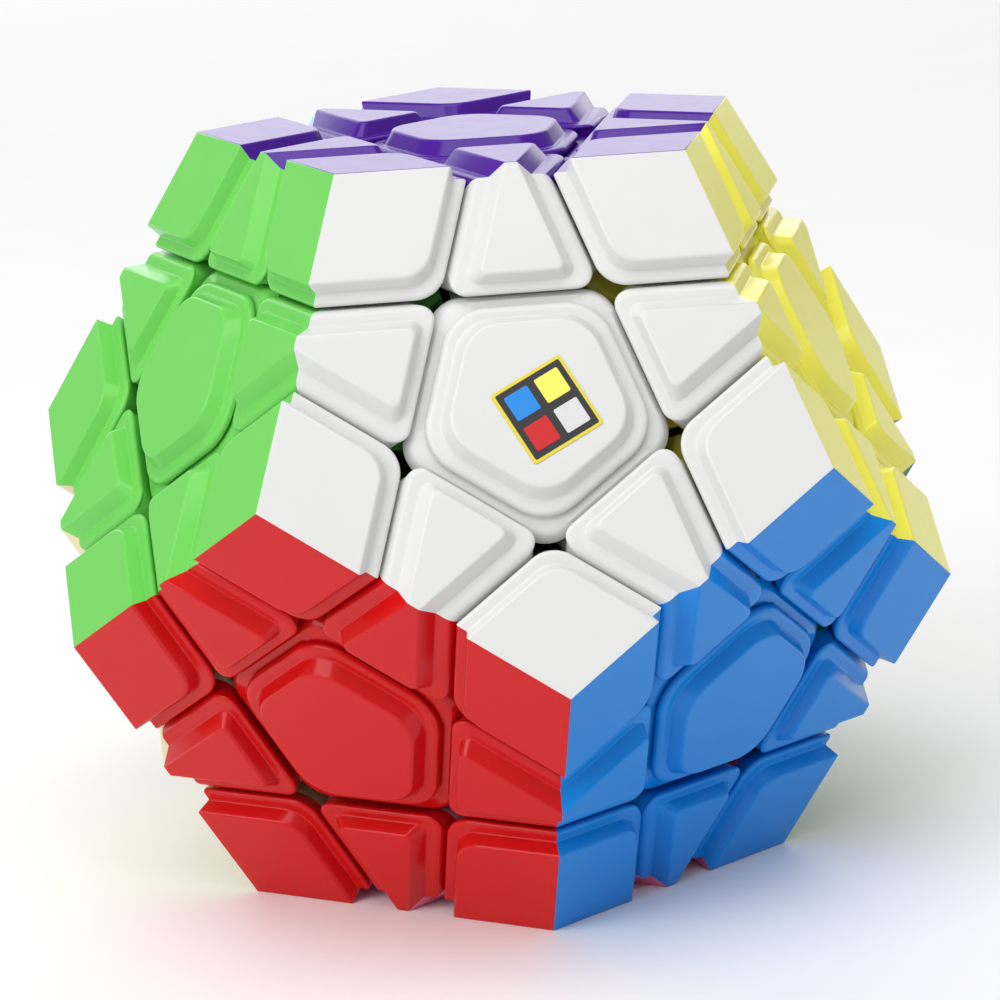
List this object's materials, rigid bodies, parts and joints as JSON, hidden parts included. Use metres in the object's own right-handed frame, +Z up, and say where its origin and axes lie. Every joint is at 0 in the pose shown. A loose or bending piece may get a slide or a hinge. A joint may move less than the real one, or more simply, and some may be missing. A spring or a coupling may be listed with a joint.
{
  "type": "dodecahedron twisty puzzle",
  "caption": "Twelve-sided three-layer twisty puzzle with raised, stepped coloured tiles; every face layer turns about its own centre.",
  "frame": {"origin": "middle of the bottom face, on the surface the puzzle stands on", "axes": "+Z up through the top (purple) face; -Y towards the white face; +X to the right of the white face"},
  "size_m": [0.0786, 0.0826, 0.0668],
  "materials": {
    "plastic_black": "satin moulded nylon",
    "plastic_blue": "glossy moulded plastic, coloured all through",
    "plastic_cream": "glossy moulded plastic, coloured all through",
    "plastic_dark_green": "glossy moulded plastic, coloured all through",
    "plastic_green": "glossy moulded plastic, coloured all through",
    "plastic_grey": "glossy moulded plastic, coloured all through",
    "plastic_orange": "glossy moulded plastic, coloured all through",
    "plastic_pink": "glossy moulded plastic, coloured all through",
    "plastic_purple": "glossy moulded plastic, coloured all through",
    "plastic_red": "glossy moulded plastic, coloured all through",
    "plastic_sky": "glossy moulded plastic, coloured all through",
    "plastic_white": "glossy moulded plastic, coloured all through",
    "plastic_yellow": "glossy moulded plastic, coloured all through",
    "spring_steel": "drawn wire"
  },
  "bodies": {
    "core_and_fixed_pieces": {"centre_blue": "plastic_blue", "centre_cream": "plastic_cream", "centre_green": "plastic_green", "centre_grey": "plastic_grey", "centre_orange": "plastic_orange", "centre_pink": "plastic_pink", "centre_sky": "plastic_sky", "centre_white": "plastic_white", "centre_yellow": "plastic_yellow", "core_with_screws": "plastic_black", "corner_grey_cream_pink_with_edges": "plastic_grey", "corner_grey_cream_sky_with_edges": "plastic_grey", "corner_orange_sky_grey_with_edges": "plastic_orange", "corner_sky_green_cream_with_edges": "plastic_sky", "corner_white_blue_yellow": "plastic_white", "edge_blue_pink": "plastic_blue", "edge_white_blue": "plastic_white", "edge_white_green": "plastic_white", "edge_white_yellow": "plastic_white", "edge_yellow_blue": "plastic_yellow", "edge_yellow_orange": "plastic_yellow"},
    "purple_layer": {"centre_cap_purple": "plastic_purple", "centre_cup_purple": "plastic_purple", "corner_purple_green_white": "plastic_purple", "corner_purple_orange_sky": "plastic_purple", "corner_purple_sky_green": "plastic_purple", "corner_purple_white_yellow": "plastic_purple", "corner_purple_yellow_orange": "plastic_purple", "edge_purple_green": "plastic_purple", "edge_purple_orange": "plastic_purple", "edge_purple_sky": "plastic_purple", "edge_purple_white": "plastic_purple", "edge_purple_yellow": "plastic_purple", "spring_purple": "spring_steel"},
    "red_layer": {"centre_cap_red": "plastic_red", "centre_cup_red": "plastic_red", "corner_blue_red_pink": "plastic_blue", "corner_cream_pink_red": "plastic_cream", "corner_green_cream_red": "plastic_green", "corner_white_green_red": "plastic_white", "corner_white_red_blue": "plastic_white", "edge_blue_red": "plastic_blue", "edge_cream_red": "plastic_cream", "edge_green_red": "plastic_green", "edge_red_pink": "plastic_red", "edge_white_red": "plastic_white", "spring_red": "spring_steel"},
    "dark_green_layer": {"centre_cap_dark_green": "plastic_dark_green", "centre_cup_dark_green": "plastic_dark_green", "corner_blue_pink_dark_green": "plastic_blue", "corner_dark_green_pink_grey": "plastic_dark_green", "corner_orange_dark_green_grey": "plastic_orange", "corner_yellow_blue_dark_green": "plastic_yellow", "corner_yellow_dark_green_orange": "plastic_yellow", "edge_blue_dark_green": "plastic_blue", "edge_dark_green_grey": "plastic_dark_green", "edge_dark_green_pink": "plastic_dark_green", "edge_orange_dark_green": "plastic_orange", "edge_yellow_dark_green": "plastic_yellow", "spring_dark_green": "spring_steel"}
  },
  "joints": [
    {"name": "turn_purple", "type": "hinge", "parent": "core_and_fixed_pieces", "child": "purple_layer", "pos_m": [0, 0, 0.0334], "axis": [0, 0, 1], "continuous": true},
    {"name": "turn_red", "type": "hinge", "parent": "core_and_fixed_pieces", "child": "red_layer", "pos_m": [0, 0, 0.0334], "axis": [-0.5257, -0.7236, -0.4472], "continuous": true},
    {"name": "turn_dark_green", "type": "hinge", "parent": "core_and_fixed_pieces", "child": "dark_green_layer", "pos_m": [0, 0, 0.0334], "axis": [0.8507, 0.2764, -0.4472], "continuous": true}
  ]
}
